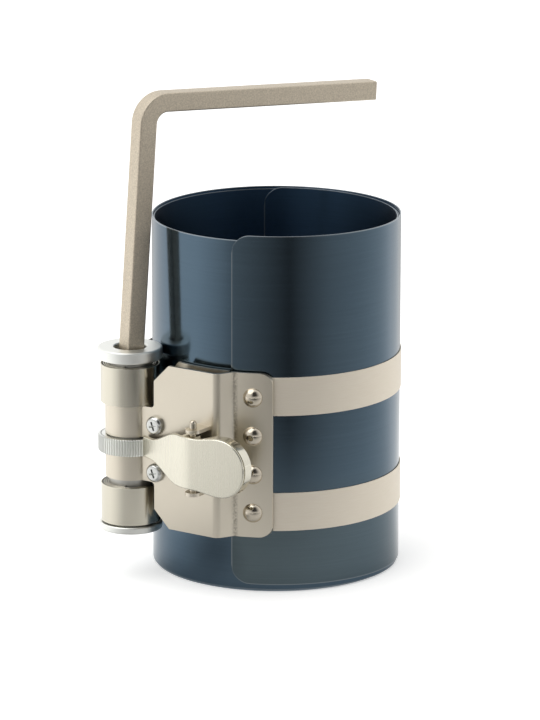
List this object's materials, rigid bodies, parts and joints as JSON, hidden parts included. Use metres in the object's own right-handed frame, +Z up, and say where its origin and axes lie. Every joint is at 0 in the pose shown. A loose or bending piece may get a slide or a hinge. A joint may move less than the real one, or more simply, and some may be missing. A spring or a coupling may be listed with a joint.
{
  "type": "piston ring compressor",
  "caption": "Wound blued-steel sleeve drawn tight round a piston by nickel bands on a keyed winding shaft, held by a toothed wheel and a sprung thumb pawl, with an L-shaped square key",
  "frame": {"origin": "on the axis of the sleeve's bore, at the edge that the tool stands on", "axes": "+Z runs up the bore, -Y is the side that the bracket and pawl face, +X runs from the winding shaft towards the riveted flange"},
  "size_m": [0.1059, 0.1295, 0.2057],
  "materials": {
    "blued_steel": "glossy blued",
    "nickel_band": "satin nickel",
    "nickel_plate": "satin nickel",
    "turned_steel": "turned bright",
    "zinc_steel": "bright zinc",
    "rivet_steel": "bright",
    "spring_wire": "drawn wire",
    "key_bar": "sand-blasted"
  },
  "bodies": {
    "frame": {"sleeve": "blued_steel", "upper_band": "nickel_band", "lower_band": "nickel_band", "front_plate": "nickel_plate", "rear_plate": "nickel_plate", "pivot_pin": "turned_steel", "flange_rivet_1": "rivet_steel", "flange_rivet_2": "rivet_steel", "flange_rivet_3": "rivet_steel", "flange_rivet_4": "rivet_steel", "knuckle_screw_upper": "zinc_steel", "knuckle_screw_lower": "zinc_steel", "knuckle_nut_upper": "zinc_steel", "knuckle_nut_lower": "zinc_steel"},
    "shaft": {"winding_shaft": "turned_steel", "head_collar": "zinc_steel", "ratchet_wheel": "zinc_steel", "foot_flange": "zinc_steel", "upper_coil": "nickel_band", "lower_coil": "nickel_band"},
    "key": {"square_key": "key_bar"},
    "pawl": {"pawl_lever": "nickel_plate", "pawl_spring": "spring_wire"}
  },
  "joints": [
    {"name": "shaft_turn", "type": "hinge", "parent": "frame", "child": "shaft", "pos_m": [-0.03576, -0.05571, 0.0583], "axis": [0, 0, 1], "range_deg": [-1146, 216]},
    {"name": "key_lift", "type": "slide", "parent": "shaft", "child": "key", "axis": [0.0289, 0.0635, 0.9976], "range_m": [0, 0.04]},
    {"name": "pawl_release", "type": "hinge", "parent": "frame", "child": "pawl", "pos_m": [0.0051, -0.06838, 0.0583], "axis": [0, 0, 1], "range_deg": [0, 12], "stiffness_Nm_per_rad": 0.06, "springref_deg": -28.65}
  ]
}
